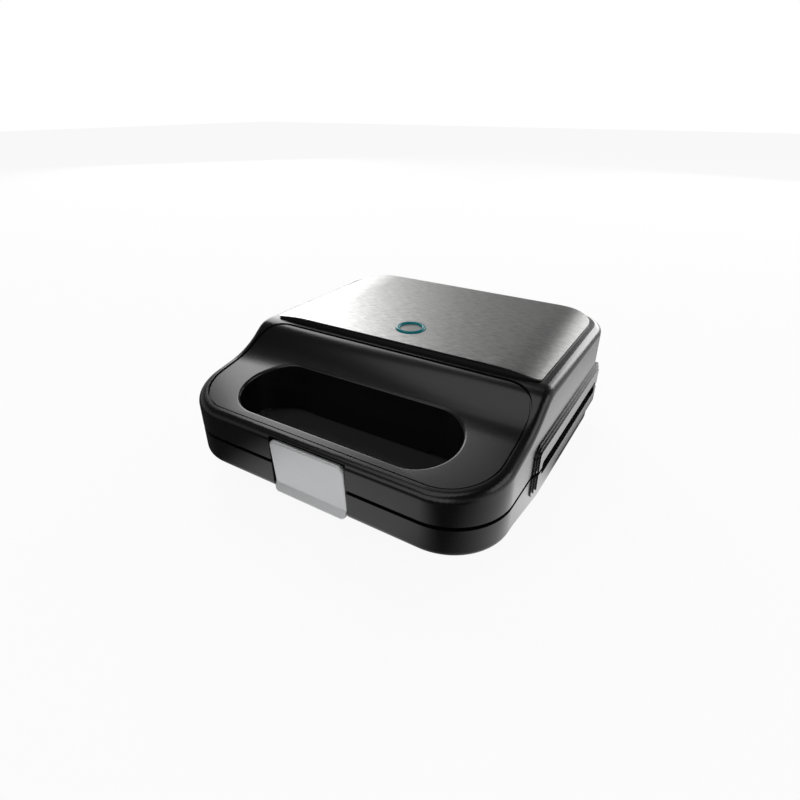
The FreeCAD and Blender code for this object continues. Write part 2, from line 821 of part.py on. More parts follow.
def plate_prism(name, grow, start, length):
    """The mould plate's outline as an upright prism, grown all round."""
    body = new_body(name)
    sketch = new_sketch(body, "XY_Plane", start)
    half_width = f"({PLATE_WIDTH} / 2 + {grow})"
    half_depth = f"({PLATE_DEPTH} / 2 + {grow})"
    radius = f"plate_corner + {grow}"
    draw_rounded(
        sketch,
        f"0 - {half_width}",
        half_width,
        f"{PLATE_Y} - {half_depth}",
        f"{PLATE_Y} + {half_depth}",
        [radius] * 4,
    )
    pad(body, sketch, length)
    return body


def make_mould_plate(label, over):
    """A cast plate with ring-shaped hollows on its face, and cups and screw bosses on its back."""
    flange = plate_prism(label + "_flange", "0", "plate_face", "plate_thickness")
    level = "plate_face - ring_sink"
    cups = [
        torus(f"{label}_cup_{index}", (x, y, level), RING_RADIUS, "ring_tube + cup_wall")
        for index, (x, y) in enumerate(CUP_SPOTS)
    ]
    bosses = [
        cylinder(
            f"{label}_boss_{index}",
            (x, y, "plate_face + cut_overlap"),
            "boss_radius",
            f"{REFLECTOR_Z} - plate_face - cut_overlap",
        )
        for index, (x, y) in enumerate(BOSS_SPOTS)
    ]
    hollows = [
        torus(f"{label}_hollow_{index}", (x, y, level), RING_RADIUS, "ring_tube")
        for index, (x, y) in enumerate(CUP_SPOTS)
    ]
    below = box(
        label + "_below",
        ("0 - body_width", "0 - body_width", "plate_face - 2 * trim_margin"),
        ("body_width", "2 * body_width", "plate_face"),
    )
    drilled = f"{REFLECTOR_Z} - screw_length"
    holes = screw_holes(label + "_hole", BOSS_SPOTS, drilled, "screw_length + cut_overlap")
    body = fuse(label + "_casting", flange, *cups, *bosses)
    finish(cut(label, body, below, *hollows, *holes), label, over)


def make_element(label, over):
    """A tubular heater bent into a U over the rings, with a pin at each end."""
    runs = []
    tail = f"({PLATE_WIDTH} / 2 - element_end_inset)"
    turn = f"({PLATE_WIDTH} / 2 - element_bend_inset - {HALF_PITCH_DEEP})"
    for index, side in enumerate(("-", "+")):
        y = f"{PLATE_Y} {side} {HALF_PITCH_DEEP}"
        start = (f"0 - {tail}", y, ELEMENT_Z)
        runs.append(cylinder(f"{label}_run_{index}", start, "element_radius", f"{tail} + {turn}", TURNED_X))
        pin_start = (f"0 - {tail} - terminal_length", y, ELEMENT_Z)
        pin_length = "terminal_length + cut_overlap"
        runs.append(cylinder(f"{label}_pin_{index}", pin_start, "terminal_radius", pin_length, TURNED_X))
    bend = torus(label + "_bend", (turn, PLATE_Y, ELEMENT_Z), HALF_PITCH_DEEP, "element_radius")
    bend.Angle3 = 180
    bend.Placement = Placement(Vector(), Rotation(Vector(0, 0, 1), -90))
    finish(fuse(label, bend, *runs), label, over)


def make_reflector(label, over):
    """A thin sheet behind the element that the plate's screws hold."""
    body = new_body(label + "_sheet")
    sketch = new_sketch(body, "XY_Plane", REFLECTOR_Z)
    half = f"({PLATE_WIDTH} / 2 - reflector_side_inset)"
    low = "plate_front_y + reflector_end_inset"
    high = "body_depth - plate_rear_inset - reflector_end_inset"
    draw_rounded(sketch, f"0 - {half}", half, low, high, ["reflector_corner"] * 4)
    pad(body, sketch, "reflector_thickness")
    through = "reflector_thickness + 2 * cut_overlap"
    holes = screw_holes(label + "_hole", BOSS_SPOTS, f"{REFLECTOR_Z} - cut_overlap", through)
    finish(cut(label, body, *holes), label, over)


def make_plate_screws(label, over):
    """Screws through the reflector into the plate's bosses, heads away from the plate."""
    screws = []
    for index, (x, y) in enumerate(BOSS_SPOTS):
        top = (x, y, REFLECTOR_TOP)
        head = cylinder(f"{label}_head_{index}", top, "screw_head_radius", "screw_head_height")
        start = f"{REFLECTOR_Z} - screw_length + cut_overlap"
        length = f"{REFLECTOR_TOP} + cut_overlap - ({start})"
        shank = cylinder(f"{label}_shank_{index}", (x, y, start), "screw_radius", length)
        screws.append(fuse(f"{label}_{index}", head, shank))
    finish(fuse(label, *screws), label, over)


def make_cover_panel():
    """The steel panel: flat in the middle, rolled down along both sides, with a hole for the ring."""
    trimmed = rolled_sheet("panel", "panel_thickness", "0")
    centre = ("0", "ring_lens_y", "lid_top")
    hole = cylinder("panel_hole", centre, "ring_lens_radius + lens_gap", "trim_margin")
    finish(cut("cover_plate", trimmed, hole), "cover_plate")


def panel_bed():
    """The crowned part of the casing's top that backs the steel panel, set in from the panel's edge."""
    thick = rolled_sheet("bed", "panel_thickness + panel_seat + panel_drop + shell_wall / 4", "bed_inset")
    under_panel = rolled_sheet("bed_clearance", "panel_thickness + pin_clearance", "0")
    return cut("panel_bed", thick, under_panel)


def rolled_sheet(name, thickness, inset):
    """A sheet under the lid's crowned top surface, cut to the panel's outline less an inset."""
    sheet = new_body(name + "_sheet")
    section = new_sketch(sheet, "XZ_Plane", f"0 - {PANEL_REAR_Y}")
    draw_rolled_sheet(section, thickness)
    pad(sheet, section, f"{PANEL_REAR_Y} - panel_front_y")
    outline = new_body(name + "_outline")
    plan = new_sketch(outline, "XY_Plane")
    front = f"panel_front_corner - {inset}"
    rear = f"panel_rear_corner - {inset}"
    half = f"({PANEL_HALF} - {inset})"
    low = f"panel_front_y + {inset}"
    high = f"{PANEL_REAR_Y} - {inset}"
    draw_rounded(plan, f"0 - {half}", half, low, high, [front, front, rear, rear])
    pad(outline, plan, "lid_top + trim_margin")
    trimmed = doc.addObject("Part::MultiCommon", name + "_trimmed")
    trimmed.Shapes = [sheet, outline]
    return trimmed


def draw_rolled_sheet(sketch, thickness):
    """A sheet's cross-section: a flat run with an arc down at each side, the same thickness all along."""
    flat = value(PANEL_FLAT)
    edge = value(PANEL_HALF)
    top = value(PANEL_TOP)
    drop = value("panel_drop")
    roll = ((edge - flat) ** 2 + drop ** 2) / (2 * drop)
    lines = []
    arcs = []
    for thick in (0, value(thickness)):
        left = Vector(-flat, top - thick, 0)
        right = Vector(flat, top - thick, 0)
        line = sketch.addGeometry(Part.LineSegment(left, right))
        radius = roll - thick
        turn = math.acos((edge - flat) / radius)
        right_circle = Part.Circle(Vector(flat, top - roll, 0), Vector(0, 0, 1), radius)
        left_circle = Part.Circle(Vector(-flat, top - roll, 0), Vector(0, 0, 1), radius)
        right_arc = sketch.addGeometry(Part.ArcOfCircle(right_circle, turn, math.pi / 2))
        left_arc = sketch.addGeometry(Part.ArcOfCircle(left_circle, math.pi / 2, math.pi - turn))
        sketch.addConstraint(Sketcher.Constraint("Tangent", line, 2, right_arc, 2))
        sketch.addConstraint(Sketcher.Constraint("Tangent", line, 1, left_arc, 1))
        sketch.addConstraint(Sketcher.Constraint("Horizontal", line))
        constrain(sketch, PANEL_HALF, "DistanceX", -1, 1, right_arc, 1)
        constrain(sketch, f"0 - {PANEL_HALF}", "DistanceX", -1, 1, left_arc, 2)
        lines.append(line)
        arcs.append((right_arc, left_arc))
    constrain(sketch, PANEL_FLAT, "DistanceX", -1, 1, lines[0], 2)
    constrain(sketch, f"0 - {PANEL_FLAT}", "DistanceX", -1, 1, lines[0], 1)
    constrain(sketch, PANEL_TOP, "DistanceY", -1, 1, lines[0], 1)
    constrain(sketch, f"{PANEL_TOP} - ({thickness})", "DistanceY", -1, 1, lines[1], 1)
    for side, near_end in enumerate((1, 2)):
        outer_arc = arcs[0][side]
        inner_arc = arcs[1][side]
        constrain(sketch, f"{PANEL_TOP} - panel_drop", "DistanceY", -1, 1, outer_arc, near_end)
        sketch.addConstraint(Sketcher.Constraint("Coincident", outer_arc, 3, inner_arc, 3))
        upper_end = sketch.getPoint(outer_arc, near_end)
        lower_end = sketch.getPoint(inner_arc, near_end)
        edge_line = sketch.addGeometry(Part.LineSegment(upper_end, lower_end))
        sketch.addConstraint(Sketcher.Constraint("Coincident", edge_line, 1, outer_arc, near_end))
        sketch.addConstraint(Sketcher.Constraint("Coincident", edge_line, 2, inner_arc, near_end))


def make_indicator():
    """The ring lens on its base, the cap inside it, and the lamp with its holder under the casing's top."""
    seat_top = "lid_top + lens_floor"
    centre = ("0", "ring_lens_y")
    flange = cylinder("lens_flange", (*centre, "lid_top"), "ring_lens_flange", "lens_floor")
    wall = cylinder("lens_wall", (*centre, "lid_top"), "ring_lens_radius", f"{PANEL_TOP} - lid_top")
    inside = cylinder("lens_inside", (*centre, seat_top), "ring_lens_inner", "trim_margin")
    base = cut("lens_base", fuse("lens_solid", flange, wall), inside)
    bead = torus(
        "lens_bead",
        (*centre, PANEL_TOP),
        "(ring_lens_radius + ring_lens_inner) / 2",
        "(ring_lens_radius - ring_lens_inner) / 2 - lens_gap",
    )
    finish(fuse("indicator_ring", base, bead), "indicator_ring")
    cap_height = f"{PANEL_TOP} - ({seat_top})"
    cap = cylinder("cap_disc", (*centre, seat_top), "ring_lens_inner - lens_gap", cap_height)
    sunk = f"{cap_height} - panel_thickness"
    foot = cylinder("cap_hollow", (*centre, seat_top), "ring_lens_inner / 2", sunk)
    finish(cut("indicator_cap", cap, foot), "indicator_cap")
    holder_z = "lid_top - shell_wall - lamp_holder_height"
    tube = cylinder("holder_tube", (*centre, holder_z), "lamp_holder_radius", "lamp_holder_height")
    bore = cylinder(
        "holder_bore",
        (*centre, f"{holder_z} - cut_overlap"),
        "lamp_radius + pin_clearance",
        "trim_margin",
    )
    finish(cut("lamp_holder", tube, bore), "lamp_holder")
    lamp_z = "lid_top - lamp_length"
    glass = cylinder("lamp_glass", (*centre, lamp_z), "lamp_radius", "lamp_length - lamp_radius")
    dome = doc.addObject("Part::Sphere", "lamp_dome")
    bind(dome, "Radius", "lamp_radius")
    place(dome, *centre, "lid_top - lamp_radius")
    finish(fuse("indicator_lamp", glass, dome), "indicator_lamp")


def make_latch():
    """The front clip: a flat plate with a flared lip, a pivot barrel behind its top and a hook below."""
    body = new_body("latch_plate")
    sketch = new_sketch(body, "YZ_Plane", "0 - latch_width / 2")
    back = f"{FACE_Y} + latch_thickness"
    bend_y = f"{FACE_Y} + latch_lean"
    tip_y = f"{bend_y} - lip_out"
    tip_z = "0 - latch_bend - lip_drop"
    side_view = [
        (FACE_Y, "latch_top"),
        (bend_y, "0 - latch_bend"),
        (tip_y, tip_z),
        (f"{tip_y} + latch_thickness", tip_z),
        (f"{bend_y} + latch_thickness", "0 - latch_bend"),
        (back, "latch_top"),
    ]
    draw_polygon(sketch, side_view)
    pad(body, sketch, "latch_width")
    half = value("latch_width / 2")
    top = value("latch_top")
    bend = value("0 - latch_bend")
    round_edges(body, edges_where(body.Shape, lambda point: near(point.z, bend)), "latch_bend_radius")
    for level, radius in ((top, "latch_corner"), (value(tip_z), "lip_tip_corner")):
        names = []
        for side in (-half, half):
            names += edges_where(body.Shape, lambda point: near(point.x, side) and near(point.z, level))
        round_edges(body, names, radius)
    slope = value("latch_lean / (latch_top + latch_bend)")
    face = value(FACE_Y)
    front_rim = edges_where(body.Shape, lambda point: near(point.y, face + slope * (top - point.z)))
    below = edges_where(body.Shape, lambda point: point.z < 0)
    rim = [name for name in front_rim if name not in below]
    round_edges(body, rim, "latch_edge")
    barrel_start = "0 - (latch_width / 2 - barrel_inset)"
    pivot = ("pivot_y", "pivot_z")
    barrel = cylinder(
        "latch_barrel",
        (barrel_start, *pivot),
        "barrel_radius",
        f"-2 * ({barrel_start})",
        TURNED_X,
    )
    hook_top = "0 - catch_z - catch_height - fit_gap"
    hook = box(
        "latch_hook",
        ("0 - latch_width / 4", f"{bend_y} + latch_thickness / 2", "0 - latch_bend"),
        ("latch_width / 4", "recess_depth - catch_reach - catch_gap", hook_top),
    )
    bore = cylinder(
        "latch_bore",
        ("0 - latch_width", *pivot),
        "latch_pin_radius + pin_clearance",
        "2 * latch_width",
        TURNED_X,
    )
    finish(cut("latch", fuse("latch_solid", body, barrel, hook), bore), "latch")


def make_pin(label, start, point, radius, length):
    """A plain pin along X with a centre hole in one end."""
    shank = cylinder(label + "_shank", (start, *point), radius, length, TURNED_X)
    centre = cylinder(label + "_centre", (start, *point), f"{radius} / 4", f"{radius}", TURNED_X)
    finish(cut(label, shank, centre), label)


def make_base_fittings():
    """Thermostat, fuse and terminal block under the lower reflector, and the bushing in the rear wall."""
    under = f"0 - {REFLECTOR_TOP}"
    can = cylinder(
        "thermostat_can",
        (f"{PITCH_ACROSS} / 2", PLATE_Y, f"{under} - thermostat_height"),
        "thermostat_radius",
        "thermostat_height",
    )
    tab_reach = "(thermostat_radius + tab_length / 2)"
    tabs = [
        box(
            f"thermostat_tab_{side}",
            (
                f"{PITCH_ACROSS} / 2 {side} {tab_reach} - tab_length / 2 - cut_overlap",
                f"{PLATE_Y} - tab_width / 2",
                f"{under} - thermostat_height",
            ),
            (
                f"{PITCH_ACROSS} / 2 {side} {tab_reach} + tab_length / 2 + cut_overlap",
                f"{PLATE_Y} + tab_width / 2",
                f"{under} - thermostat_height + tab_thickness",
            ),
        )
        for side in ("-", "+")
    ]
    finish(fuse("thermostat", can, *tabs), "thermostat")
    fuse_z = f"{under} - fuse_radius"
    sleeve = cylinder("fuse_sleeve", ("fuse_x", PLATE_Y, fuse_z), "fuse_radius", "fuse_length", TURNED_X)
    wire = cylinder(
        "fuse_wire",
        ("fuse_x - fuse_length / 2", PLATE_Y, fuse_z),
        "terminal_radius / 2",
        "2 * fuse_length",
        TURNED_X,
    )
    finish(fuse("thermal_fuse", sleeve, wire), "thermal_fuse")
    floor = "0 - base_bottom + shell_wall"
    block_y = "(body_depth - block_rear_inset)"
    block = box(
        "block_body",
        ("0 - block_width / 2", f"{block_y} - block_depth / 2", floor),
        ("block_width / 2", f"{block_y} + block_depth / 2", f"{floor} + block_height"),
    )
    clamps = [
        cylinder(
            f"block_clamp_{side}",
            (f"0 {side} block_width / 4", block_y, f"{floor} + block_height / 2"),
            "screw_radius",
            "block_height",
        )
        for side in ("-", "+")
    ]
    finish(cut("terminal_block", block, *clamps), "terminal_block")
    gland_start = "body_depth - shell_wall - gland_inner_length"
    length = "gland_inner_length + shell_wall + gland_flange_length"
    axis = ("0", "0 - gland_z")
    sleeve = cylinder("gland_sleeve", (axis[0], gland_start, axis[1]), "gland_radius", length, TURNED_Y)
    flange = cylinder(
        "gland_collar", (axis[0], "body_depth", axis[1]), "gland_flange", "gland_flange_length", TURNED_Y
    )
    bore_start = (axis[0], f"{gland_start} - cut_overlap", axis[1])
    bore = cylinder("gland_opening", bore_start, "gland_bore", f"{length} + 2 * cut_overlap", TURNED_Y)
    finish(cut("cord_gland", fuse("gland_solid", sleeve, flange), bore), "cord_gland")


def make_feet():
    """Four rubber feet with stems pressed into the base."""
    bottom = "0 - base_bottom - foot_height"
    corners = ("front_left", "front_right", "rear_left", "rear_right")
    for corner, (x, y) in zip(corners, FOOT_SPOTS):
        label = f"foot_{corner}"
        pad_body = cylinder(label + "_pad", (x, y, bottom), "foot_radius", "foot_height")
        stem = cylinder(label + "_stem", (x, y, bottom), "foot_stem_radius", "foot_height + foot_stem_length")
        finish(fuse(label, pad_body, stem), label)


def make_all():
    """Every piece of the machine."""
    make_upper_shell()
    make_lower_shell()
    make_cover_panel()
    make_indicator()
    make_handle_cover("upper_handle_cover", "half_gap", False, True)
    make_handle_cover("lower_handle_deck", "deck_drop", True, False)
    head_drop = "screw_head_height"
    screw_group("upper_cover_screws", COVER_SPOTS, f"half_gap - {head_drop}", "screw_length", False)
    screw_group("lower_cover_screws", COVER_SPOTS, f"deck_drop - {head_drop}", "screw_length", True)
    for level, over in (("upper", False), ("lower", True)):
        make_liner(f"{level}_liner", over)
        screw_group(f"{level}_liner_screws", LINER_SPOTS, "half_gap", "screw_length", over)
        make_mould_plate(f"{level}_mould_plate", over)
        make_element(f"{level}_heating_element", over)
        make_reflector(f"{level}_reflector", over)
        make_plate_screws(f"{level}_plate_screws", over)
    make_latch()
    pin_half = f"({RECESS_HALF} + latch_pin_grip)"
    make_pin("latch_pin", f"0 - {pin_half}", ("pivot_y", "pivot_z"), "latch_pin_radius", f"2 * {pin_half}")
    for side, lug in zip(("left", "right"), LUG_CENTRES):
        start = f"{lug} - {HINGE_REACH} / 2"
        make_pin(f"hinge_pin_{side}", start, (HINGE_Y, "0"), "hinge_pin_radius", HINGE_REACH)
    make_base_fittings()
    make_feet()


def check_all():
    """Stops before anything is written if a feature failed or a piece is not a sound solid."""
    for thing in doc.Objects:
        if "Invalid" in thing.State or "Error" in thing.State:
            raise RuntimeError(f"{thing.Name} ({thing.Label}) failed: {thing.State}")
    for piece in PIECES:
        shape = piece.Shape
        if shape.isNull() or not shape.isValid() or not shape.Solids:
            raise RuntimeError(f"{piece.Label} is not a valid solid")


make_all()
doc.recompute()
check_all()
os.makedirs("parts", exist_ok=True)
for piece in PIECES:
    piece.Shape.exportStep(f"parts/{piece.Label}.step")
    print(piece.Label, len(piece.Shape.Solids), round(piece.Shape.Volume), piece.Shape.BoundBox)
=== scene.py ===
"""Looks of a closed ring-mould donut maker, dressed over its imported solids."""

import json
import math

import bpy
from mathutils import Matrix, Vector


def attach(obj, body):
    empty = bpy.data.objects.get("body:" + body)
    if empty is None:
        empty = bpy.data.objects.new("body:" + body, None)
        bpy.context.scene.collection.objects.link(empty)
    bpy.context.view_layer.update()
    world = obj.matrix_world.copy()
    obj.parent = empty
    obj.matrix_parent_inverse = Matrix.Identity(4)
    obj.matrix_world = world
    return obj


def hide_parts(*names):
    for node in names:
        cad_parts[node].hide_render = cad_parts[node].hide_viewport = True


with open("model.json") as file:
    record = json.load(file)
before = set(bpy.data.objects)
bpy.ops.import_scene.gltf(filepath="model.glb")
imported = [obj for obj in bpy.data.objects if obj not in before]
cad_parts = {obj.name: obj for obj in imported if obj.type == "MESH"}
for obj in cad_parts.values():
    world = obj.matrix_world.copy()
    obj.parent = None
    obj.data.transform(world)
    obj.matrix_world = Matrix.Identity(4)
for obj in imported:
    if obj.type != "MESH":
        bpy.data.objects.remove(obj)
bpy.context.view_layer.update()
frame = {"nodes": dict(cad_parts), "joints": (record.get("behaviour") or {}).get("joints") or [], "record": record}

bl_info = {
    "name": "Donut Maker Looks",
    "version": (1, 0, 0),
    "blender": (4, 5, 0),
    "location": "View3D > Sidebar > Donut Maker",
    "description": "Dresses the solids of a ring-mould donut maker and lights them",
    "category": "Object",
}

MILLIMETRE = 0.001
BRUSH_MAP = "across_the_brush"
HINGE = Vector(next(each["pos_m"] for each in frame["joints"] if each["name"] == "lid_hinge"))
BODY_OF_NODE = {
    node: body
    for body, members in frame["record"]["behaviour"]["bodies"].items()
    for node in members
}

# The Mix node's sockets share their names, so they are told apart by number.
MIX_SHARE = 0
LEVEL_A, LEVEL_B, LEVEL_OUT = 2, 3, 0
COLOUR_A, COLOUR_B, COLOUR_OUT = 6, 7, 2
# Where the four numbers of a fade go.
FADE_SOCKETS = ("From Min", "From Max", "To Min", "To Max")

GRAIN_DETAIL = 3.0
GRAIN_BREAK_UP = 0.55
# Most of a grain's noise lies in this part, which is spread over a finish's whole range.
GRAIN_LOW, GRAIN_HIGH = 0.3, 0.7
# How strongly large flat faces straighten the shading of the rounds beside them.
FLAT_FACE_WEIGHT = 80


def linear(hex_colour):
    """Linear RGB of an sRGB hex colour."""
    channels = [int(hex_colour[i:i + 2], 16) / 255 for i in (1, 3, 5)]
    return tuple(c / 12.92 if c <= 0.04045 else ((c + 0.055) / 1.055) ** 2.4 for c in channels)


def with_alpha(colour):
    """A colour as a socket takes it."""
    return (*colour, 1.0)


def add_node(tree, kind, settings=None, links=None):
    """Adds a node, gives its settings to its properties or sockets, and links its sockets."""
    made = tree.nodes.new(kind)
    for key, setting in (settings or {}).items():
        if isinstance(key, str) and hasattr(made, key):
            setattr(made, key, setting)
        else:
            made.inputs[key].default_value = setting
    for key, source in (links or {}).items():
        tree.links.new(source, made.inputs[key])
    return made


def joined_fades(tree, operation, rows):
    """One level joined from soft fades, each along its own place between two ends and two levels."""
    joined = None
    for along, ends in rows:
        fade = add_node(
            tree, "ShaderNodeMapRange",
            {"interpolation_type": "SMOOTHSTEP", **dict(zip(FADE_SOCKETS, ends))},
            {"Value": along},
        ).outputs["Result"]
        if joined is None:
            joined = fade
        else:
            both = add_node(tree, "ShaderNodeMath", {"operation": operation}, {0: joined, 1: fade})
            joined = both.outputs["Value"]
    return joined


def new_material(name):
    """A new material and its emptied node tree."""
    material = bpy.data.materials.new(name)
    material.use_nodes = True
    material.node_tree.nodes.clear()
    return material, material.node_tree


def grained(name, colour, rough, grain_mm, depth_mm, shift=0.12, stretch=(1, 1, 1), **sockets):
    """A surface whose grain moves its colour, its relief, and its roughness within a range."""
    material, tree = new_material(name)
    place = add_node(tree, "ShaderNodeTexCoord")
    stretched = add_node(
        tree, "ShaderNodeMapping", {"Scale": stretch}, {"Vector": place.outputs["Object"]},
    )
    grain = add_node(
        tree, "ShaderNodeTexNoise",
        {
            "Scale": 1 / (grain_mm * MILLIMETRE),
            "Detail": GRAIN_DETAIL,
            "Roughness": GRAIN_BREAK_UP,
        },
        {"Vector": stretched.outputs["Vector"]},
    )
    spread = add_node(
        tree, "ShaderNodeMapRange", {"From Min": GRAIN_LOW, "From Max": GRAIN_HIGH},
        {"Value": grain.outputs["Fac"]},
    )
    tint = add_node(
        tree, "ShaderNodeMix",
        {
            "data_type": "RGBA",
            COLOUR_A: with_alpha([c * (1 - shift) for c in colour]),
            COLOUR_B: with_alpha([min(c * (1 + shift), 1) for c in colour]),
        },
        {MIX_SHARE: spread.outputs["Result"]},
    )
    smoothest, roughest = rough
    gloss = add_node(
        tree, "ShaderNodeMapRange", {"To Min": smoothest, "To Max": roughest},
        {"Value": spread.outputs["Result"]},
    )
    relief = add_node(
        tree, "ShaderNodeBump", {"Strength": 1.0, "Distance": depth_mm * MILLIMETRE},
        {"Height": grain.outputs["Fac"]},
    )
    shader = add_node(
        tree, "ShaderNodeBsdfPrincipled", sockets,
        {
            "Base Color": tint.outputs[COLOUR_OUT],
            "Roughness": gloss.outputs["Result"],
            "Normal": relief.outputs["Normal"],
        },
    )
    add_node(tree, "ShaderNodeOutputMaterial", links={"Surface": shader.outputs["BSDF"]})
    return material


def looks():
    """The sizes and colours that a user may change."""
    return bpy.context.scene.donut_maker_looks


def use_alone(made):
    """Makes one object the only one that operators act on."""
    bpy.ops.object.select_all(action="DESELECT")
    made.select_set(True)
    bpy.context.view_layer.objects.active = made


def finish_piece(made, node, material):
    """Gives a piece its material in its one slot and its body, and hides the node it stands for."""
    made.data.materials.clear()
    made.data.materials.append(material)
    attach(made, BODY_OF_NODE[node])
    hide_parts(node)


def skin(node, material):
    """A merged copy of a solid with smooth rounds and flat flats, shown in the solid's place."""
    made = bpy.data.objects.new(node + "_skin", frame["nodes"][node].data.copy())
    bpy.context.scene.collection.objects.link(made)
    use_alone(made)
    bpy.ops.object.mode_set(mode="EDIT")
    bpy.ops.mesh.select_all(action="SELECT")
    bpy.ops.mesh.remove_doubles(threshold=looks().merge_distance)
    bpy.ops.object.mode_set(mode="OBJECT")
    bpy.ops.mesh.customdata_custom_splitnormals_clear()
    bpy.ops.object.shade_smooth_by_angle(angle=looks().smooth_angle)
    flattener = made.modifiers.new("weighted_normal", "WEIGHTED_NORMAL")
    flattener.keep_sharp = True
    flattener.weight = FLAT_FACE_WEIGHT
    bpy.ops.object.modifier_apply(modifier=flattener.name)
    finish_piece(made, node, material)
    return made


def paint_node(node, material):
    """Gives a solid that is shown as it is its material."""
    mesh = frame["nodes"][node].data
    mesh.materials.clear()
    mesh.materials.append(material)


class DonutMakerLooks(bpy.types.PropertyGroup):
    """Sizes and colours of the finishes."""

    merge_distance: bpy.props.FloatProperty(
        name="Merge distance", description="Corners closer than this are one corner",
        default=0.000002, min=0.0, precision=6, unit="LENGTH",
    )
    smooth_angle: bpy.props.FloatProperty(
        name="Smooth angle", description="Faces that meet below this angle shade as one surface",
        default=math.radians(32), subtype="ANGLE",
    )
    casing_colour: bpy.props.FloatVectorProperty(
        name="Casing", description="Black of the moulded casing",
        default=linear("#0E0E0F"), subtype="COLOR",
    )
    liner_colour: bpy.props.FloatVectorProperty(
        name="Liner", description="Dark grey of the frames round the mould plates",
        default=linear("#303031"), subtype="COLOR",
    )
    steel_colour: bpy.props.FloatVectorProperty(
        name="Steel panel", description="Colour of the brushed top panel",
        default=linear("#A0A09F"), subtype="COLOR",
    )
    latch_colour: bpy.props.FloatVectorProperty(
        name="Latch", description="Silver of the front clip",
        default=linear("#D2D3D4"), subtype="COLOR",
    )
    lens_colour: bpy.props.FloatVectorProperty(
        name="Lens", description="Teal of the ring lens",
        default=linear("#067A82"), subtype="COLOR",
    )
    coating_colour: bpy.props.FloatVectorProperty(
        name="Non-stick coating", description="Dark grey of the mould plates",
        default=linear("#2A2A2C"), subtype="COLOR",
    )
    brush_pitch: bpy.props.FloatProperty(
        name="Brush pitch", description="Spacing of the brushed lines across the panel",
        default=0.001, unit="LENGTH",
    )
    brush_length: bpy.props.FloatProperty(
        name="Brush length", description="Length of one brushed line along the panel",
        default=0.007, unit="LENGTH",
    )
    floor_size: bpy.props.FloatProperty(
        name="Floor", description="Length of the floor's side",
        default=12.0, unit="LENGTH",
    )


class DONUT_OT_casing(bpy.types.Operator):
    """Dresses the two casing halves"""

    bl_idname = "donut.casing"
    bl_label = "Casing"

    def execute(self, context):
        # ABS, injection moulded in a fine-blasted tool: near black, with soft wide reflections.
        abs_black = grained(
            "moulded_abs_black", looks().casing_colour,
            rough=(0.2, 0.27), grain_mm=0.5, depth_mm=0.0008, IOR=1.5,
        )
        for node in ("upper_shell", "lower_shell"):
            skin(node, abs_black)
        return {"FINISHED"}


class DONUT_OT_liners(bpy.types.Operator):
    """Dresses the heat-resistant frames round the mould plates and the covers inside the handles"""

    bl_idname = "donut.liners"
    bl_label = "Liners"

    def execute(self, context):
        # PBT with glass fibre, moulded in an etched tool: greyish black and matt, finely sandy.
        pbt_black = grained(
            "moulded_pbt_black", looks().liner_colour,
            rough=(0.5, 0.66), grain_mm=0.6, depth_mm=0.008, IOR=1.5,
        )
        for node in ("upper_liner", "lower_liner", "upper_handle_cover", "lower_handle_deck"):
            skin(node, pbt_black)
        return {"FINISHED"}


class DONUT_OT_cover_panel(bpy.types.Operator):
    """Dresses the steel panel on the lid"""

    bl_idname = "donut.cover_panel"
    bl_label = "Steel panel"

    def execute(self, context):
        panel = skin("cover_plate", self.brushed_steel())
        layer = panel.data.uv_layers.new(name=BRUSH_MAP)
        for loop in panel.data.loops:
            corner = panel.data.vertices[loop.vertex_index].co
            layer.data[loop.index].uv = (corner.y, corner.x)
        return {"FINISHED"}

    def brushed_steel(self):
        # Stainless steel sheet, belt brushed from side to side: every line spreads the light along
        # the depth, so the reflections stand as soft bands one beside the other.
        # The pitch is coarser than a real brush's, so that it shows.
        pitch = looks().brush_pitch
        material = grained(
            "brushed_stainless_steel", looks().steel_colour,
            rough=(0.29, 0.37), grain_mm=pitch / MILLIMETRE, depth_mm=0.004, shift=0.32,
            stretch=(pitch / looks().brush_length, 1, 1), Metallic=1.0, Anisotropic=0.85,
        )
        tree = material.node_tree
        across = add_node(
            tree, "ShaderNodeTangent", {"direction_type": "UV_MAP", "uv_map": BRUSH_MAP},
        )
        shader = next(each for each in tree.nodes if each.type == "BSDF_PRINCIPLED")
        tree.links.new(across.outputs["Tangent"], shader.inputs["Tangent"])
        return material


class DONUT_OT_indicator(bpy.types.Operator):
    """Dresses the ring lens, the disc inside it and the lamp below"""

    bl_idname = "donut.indicator"
    bl_label = "Indicator"

    def execute(self, context):
        # Acrylic, tinted through and moulded with a satin face: deep teal with soft, weak reflections.
        acrylic = grained(
            "tinted_acrylic_teal", looks().lens_colour,
            rough=(0.22, 0.3), grain_mm=1.5, depth_mm=0.001, shift=0.06,
            IOR=1.49, **{"Specular IOR Level": 0.2},
        )
        # Stainless steel, turned on a lathe: a bright small disc.
        disc = grained(
            "turned_stainless_steel", looks().steel_colour,
            rough=(0.26, 0.36), grain_mm=0.5, depth_mm=0.008, shift=0.08, Metallic=1.0,
        )
        # Polyamide, moulded: off-white and dull.
        holder = grained(
            "moulded_polyamide_white", linear("#D8D4C8"),
            rough=(0.45, 0.6), grain_mm=0.8, depth_mm=0.004,
        )
        # Soda-lime glass, drawn: clear with a pale tint.
        bulb = grained(
            "drawn_glass_clear", linear("#F2E9DC"),
            rough=(0.02, 0.06), grain_mm=2.0, depth_mm=0.0005, shift=0.03,
            IOR=1.52, **{"Transmission Weight": 0.9},
        )
        skin("indicator_ring", acrylic)
        skin("indicator_cap", disc)
        paint_node("lamp_holder", holder)
        paint_node("indicator_lamp", bulb)
        return {"FINISHED"}


